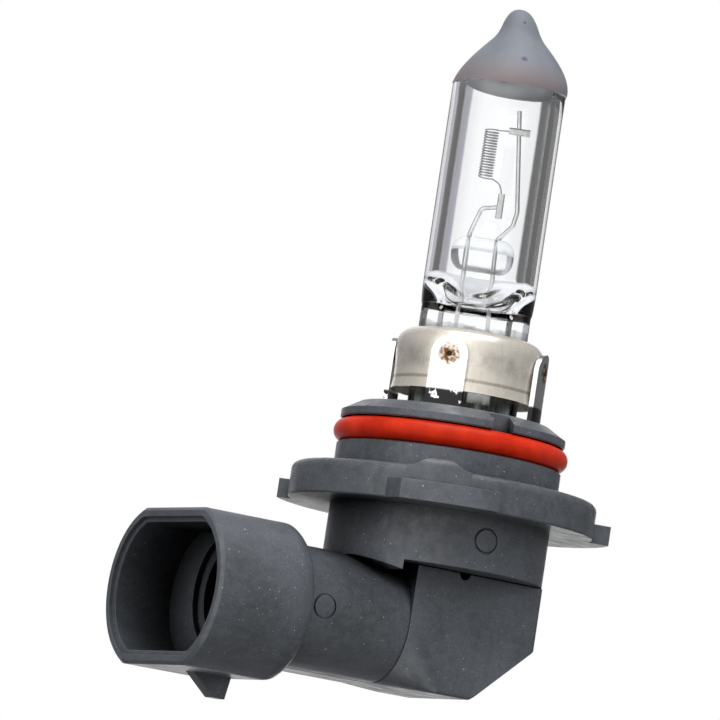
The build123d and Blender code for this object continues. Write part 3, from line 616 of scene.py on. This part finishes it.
def glass_inside():
    """Gas space, with a floor left uneven by the pressing."""
    floor_steps, wall_steps, dome_steps = 24, 7, 16
    radius = TUBE_RADIUS - TUBE_WALL
    rings = []
    for step in range(1, floor_steps + 1):
        sweep = pi / 2 * step / floor_steps
        spread = sin(sweep) ** 0.75
        z = CAVITY_WALL_END - (CAVITY_WALL_END - CAVITY_FLOOR) * cos(sweep) ** 0.9
        ring = []
        for x, y, _ in circle(radius * spread, z, GLASS_SIDES):
            ring.append((x, y, z + pressed(x, y, radius) * (1 - spread ** 6) * 0.9))
        rings.append(ring)
    for step in range(1, wall_steps + 1):
        z = CAVITY_WALL_END + (COATING_EDGE - CAVITY_WALL_END) * step / wall_steps
        rings.append(circle(radius, z, GLASS_SIDES))
    edge = (radius, COATING_EDGE)
    top = (0.05 * MM, CAVITY_DOME)
    for r, z in curve(edge, moved(edge, 0, 1.6), (2.2 * MM, CAVITY_DOME - 0.6 * MM), top, dome_steps):
        rings.append(circle(r, z, GLASS_SIDES))
    return skin(rings, flip=True)


def build_glass():
    points, faces = joined(glass_outside(), glass_inside())
    material = clear_glass("hard_glass", 0.02)
    piece("glass_bulb", points, faces, material, "glass_envelope", BURNER_FRAME)


def build_coating():
    outer = tip_curve(COATING_DEPTH)
    inner = list(reversed(tip_curve(0.004 * MM)))
    points, faces = turned(outer + inner, GLASS_SIDES, shift=lean)
    piece("tip_paint_coat", points, faces, tip_paint(), "tip_coating", BURNER_FRAME)


# --- filament -----------------------------------------------------------------------
COIL_TURNS = 18
COIL_TURN_STEPS = 28
COIL_RADIUS = 0.66 * MM
COIL_WIRE = 0.065 * MM
COIL_X = -1.07 * MM
COIL_Z = (29.2 * MM, 34.0 * MM)
HEAD_END = 1.0 * MM              # the coil's head runs across to the upper clamp
HEAD_RISE = 0.12 * MM
# The coil's foot: across and up, from the lower clamp towards the first turn.
FOOT_KNOTS = ((0.72 * MM, 27.3 * MM), (0.72 * MM, 28.6 * MM), (0.45 * MM, 28.9 * MM))


def tube(path, radius, sides=10):
    """Round wire along a path of points, with flat closed ends."""
    points = [Vector(p) for p in path]
    turns = [2 * pi * side / sides for side in range(sides)]
    rings = []
    normal = None
    for i, point in enumerate(points):
        ahead = points[min(i + 1, len(points) - 1)] - points[max(i - 1, 0)]
        ahead.normalize()
        if normal is None:
            normal = ahead.orthogonal().normalized()
        normal = (normal - ahead * normal.dot(ahead)).normalized()
        across = ahead.cross(normal)
        spokes = [normal * cos(turn) + across * sin(turn) for turn in turns]
        rings.append([tuple(point + radius * spoke) for spoke in spokes])
    return skin(rings)


def coil_path():
    """The filament from its foot, up through the coil, to its head."""
    turns = []
    steps = COIL_TURNS * COIL_TURN_STEPS
    for i in range(steps + 1):
        angle = 2 * pi * COIL_TURNS * i / steps
        z = COIL_Z[0] + (COIL_Z[1] - COIL_Z[0]) * i / steps
        turns.append((COIL_X + COIL_RADIUS * cos(angle), COIL_RADIUS * sin(angle), z))
    x, _, z = turns[-1]
    head = [(x + (HEAD_END - x) * share, 0, z + HEAD_RISE * share) for share in (0.1, 0.4, 0.7, 1.0)]
    knots = [Vector((x, 0, z)) for x, z in FOOT_KNOTS]
    foot = [tuple(p) for p in interpolate_bezier(*knots, Vector(turns[0]), 12)[:-1]]
    return foot + turns + head


def build_filament():
    points, faces = tube(coil_path(), COIL_WIRE)
    metal = drawn_metal("tungsten_wire", (0.30, 0.30, 0.31), (0.46, 0.46, 0.47), 0.38)
    piece("filament_wire", points, faces, metal, "filament_coil", BURNER_FRAME)


# --- seal ---------------------------------------------------------------------------
def build_seal():
    sides = 48
    section = (ring_high.z - ring_low.z) / 2
    ring_radius = (ring_high.x - ring_low.x) / 2 - section
    middle_z = (ring_high.z + ring_low.z) / 2
    turns = [2 * pi * side / sides for side in range(sides)]
    outline = [(ring_radius + section * cos(turn), middle_z + section * sin(turn)) for turn in turns]
    points, faces = turned(outline, 192)
    piece("sealing_ring", points, faces, seal_rubber(), "o_ring")


# --- materials for the CAD nodes that stay ------------------------------------------
def weld_places():
    """The middle of each prong's spot weld."""
    places = []
    for angle in PRONG_ANGLES:
        out = Vector((prong_high.x - BURNER_AXIS.x, 0, 0))
        out.rotate(Matrix.Rotation(radians(angle), 3, "Z"))
        places.append(BURNER_AXIS + out + Vector((0, 0, middle("weld_nuggets").z)))
    return places


def dress_cad_nodes():
    moly = drawn_metal("molybdenum_wire", (0.76, 0.76, 0.74), (0.92, 0.92, 0.89), 0.28,
                       fused_below=SHOULDER_HEIGHT - SHOULDER_DROP)
    strip = drawn_metal("nickel_strip", (0.60, 0.60, 0.58), (0.78, 0.78, 0.76), 0.3, streak=5.0)
    tinned = drawn_metal("tinned_brass", (0.60, 0.57, 0.50), (0.78, 0.76, 0.70), 0.3)
    weld = drawn_metal("weld_metal", (0.25, 0.17, 0.10), (0.42, 0.33, 0.24), 0.5)
    looks = {
        "base_housing": moulded_plastic("housing_plastic", 0.0),
        "elbow_cover": moulded_plastic("cover_plastic", 0.37),
        "burner_collar": collar_metal(),
        "prong_ring": prong_metal(weld_places()),
        "pinch_clip": strip,
        "weld_nuggets": weld,
        "long_support_wire": moly,
        "short_support_wire": moly,
        "upper_filament_clamp": strip,
        "lower_filament_clamp": strip,
        "bead_bridge": clear_glass("bead_glass", 0.03),
        "long_side_foil": moly,
        "short_side_foil": moly,
        "long_side_feed_wire": moly,
        "short_side_feed_wire": moly,
        "near_terminal": tinned,
        "far_terminal": tinned,
    }
    for name, material in looks.items():
        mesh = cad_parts[name].data
        mesh.materials.clear()
        mesh.materials.append(material)


# --- studio -------------------------------------------------------------------------
FLOOR_DROP = 90 * MM
FLOOR_RADIUS = 4.0
CAMERA_PLACE = Vector((-350.0, -606.22, -68.01)) * MM
CAMERA_AZIMUTH = -30.0
CAMERA_PAN = -0.014188
CAMERA_TILT = 0.110682
CAMERA_ROLL = 0.149672
CAMERA_LENS = 362.44
CAMERA_CLIP = (0.01, 20)
# The white card behind the lamp fades out between these angles, to its sides and up and down.
CARD_SIDES = (radians(12), radians(15))
CARD_ENDS = (radians(24), radians(34))
PANEL_LEVEL = 1.5
# Name, azimuth from the camera's side, elevation, distance, size, power, seen in reflections.
LIGHTS = (
    ("key", -12, 38, 0.6, (0.3, 0.3), 1.2, False),
    ("top", 10, 78, 0.6, (0.5, 0.5), 1.6, True),
    ("fill", 60, 10, 0.7, (0.3, 0.5), 0.5, False),
    ("rim", 160, 25, 0.7, (0.4, 0.4), 0.8, False),
)


def build_floor():
    """Pale floor, left out of reflections and of the light on the lamp's underside."""
    count = 64
    mesh = bpy.data.meshes.new("floor")
    mesh.from_pydata(circle(FLOOR_RADIUS, -FLOOR_DROP, count), [], [tuple(range(count))])
    material, tree = new_material("studio_floor")
    tone = ramp(tree, noise(tree, place(tree), 0.01, 3), (0.3, 0.86), (0.7, 0.90))
    finish(tree, Base_Color=tone, Roughness=0.9)
    mesh.materials.append(material)
    floor = bpy.data.objects.new("floor", mesh)
    bpy.context.scene.collection.objects.link(floor)
    floor.visible_diffuse = False
    floor.visible_glossy = False


def studio_reflections(tree):
    """White card behind the lamp, bright panel behind the camera to its left, and a dim room.

    All of it turns with the camera, so the glass shows the same bands from every side.
    """
    seen = node(tree, "TexCoord").outputs["Camera"]
    axes = node(tree, "SeparateXYZ", {"Vector": seen})
    sideways = maths(tree, "ARCTAN2", axes.outputs["X"], axes.outputs["Z"])
    rise = maths(tree, "ABSOLUTE", maths(tree, "ARCSINE", axes.outputs["Y"]))
    wide = between(tree, maths(tree, "ABSOLUTE", sideways), *CARD_SIDES, 1.0, 0.0)
    tall = between(tree, rise, *CARD_ENDS, 1.0, 0.0)
    lilac, dim = (0.31, 0.30, 0.34), (0.09, 0.09, 0.09)
    room = ramp(
        tree, maths(tree, "MULTIPLY_ADD", sideways, 0.5 / pi, 0.5),
        (0.0, 0.9), (0.16, 1.0), (0.19, 0.2), (0.33, dim), (0.41, dim), (0.42, lilac), (0.47, lilac),
        (0.53, 0.10), (0.67, dim), (0.84, 0.16), (0.92, 0.45), (0.985, 0.7), (1.0, 0.9),
    )
    room = mix(tree, 1.0, room, (PANEL_LEVEL, PANEL_LEVEL, PANEL_LEVEL), "MULTIPLY")
    return mix(tree, times(tree, wide, tall), room, (1.0, 1.0, 1.0))


def build_world():
    """The lamp mirrors the studio and is lit by a soft sky; the camera sees plain white."""
    world = bpy.data.worlds.new("studio")
    bpy.context.scene.world = world
    world.use_nodes = True
    tree = world.node_tree
    tree.nodes.clear()
    kind = node(tree, "LightPath").outputs
    up = height_of(tree, node(tree, "TexCoord").outputs["Generated"])
    sky = mix(tree, between(tree, up, -0.7, 0.5), (0.26, 0.26, 0.255), (0.76, 0.785, 0.83))
    soft = mix(tree, kind["Is Diffuse Ray"], studio_reflections(tree), sky)
    colour = mix(tree, kind["Is Camera Ray"], soft, (1.0, 1.0, 1.0))
    background = node(tree, "Background", {"Color": colour, "Strength": 1.0})
    output = tree.nodes.new("ShaderNodeOutputWorld")
    tree.links.new(background.outputs[0], output.inputs[0])


def softbox(name, azimuth, elevation, distance, size, power, mirrored):
    """Soft rectangular light aimed at the lamp; azimuth is counted from the camera's side."""
    data = bpy.data.lights.new(name, "AREA")
    data.shape = "RECTANGLE"
    data.size, data.size_y = size
    data.energy = power
    lamp = bpy.data.objects.new(name, data)
    bpy.context.scene.collection.objects.link(lamp)
    turn = radians(CAMERA_AZIMUTH + azimuth)
    lift = radians(elevation)
    back = Vector((sin(turn) * cos(lift), -cos(turn) * cos(lift), sin(lift)))
    target = (cad_box[0] + cad_box[1]) / 2
    lamp.location = target + back * distance
    lamp.rotation_mode = "QUATERNION"
    lamp.rotation_quaternion = (-back).to_track_quat("-Z", "Y")
    lamp.visible_camera = False
    lamp.visible_transmission = False
    lamp.visible_glossy = mirrored


def build_lights():
    for light in LIGHTS:
        softbox(*light)


def build_camera():
    data = bpy.data.cameras.new("camera")
    data.sensor_width = 36
    data.lens = CAMERA_LENS
    data.clip_start, data.clip_end = CAMERA_CLIP
    camera = bpy.data.objects.new("camera", data)
    bpy.context.scene.collection.objects.link(camera)
    level = cos(CAMERA_TILT)
    ahead = Vector((sin(CAMERA_PAN) * level, cos(CAMERA_PAN) * level, sin(CAMERA_TILT)))
    right = Vector((cos(CAMERA_PAN), -sin(CAMERA_PAN), 0))
    up = right.cross(ahead)
    rolled_right = cos(CAMERA_ROLL) * right + sin(CAMERA_ROLL) * up
    rolled_up = cos(CAMERA_ROLL) * up - sin(CAMERA_ROLL) * right
    turn = Matrix.Rotation(radians(CAMERA_AZIMUTH), 3, "Z")
    basis = Matrix([turn @ rolled_right, turn @ rolled_up, turn @ -ahead]).transposed()
    camera.matrix_world = Matrix.Translation(CAMERA_PLACE) @ basis.to_4x4()
    bpy.context.scene.camera = camera


build_glass()
build_coating()
build_filament()
build_seal()
dress_cad_nodes()
build_floor()
build_world()
build_lights()
build_camera()
bpy.context.scene.view_settings.view_transform = "Standard"
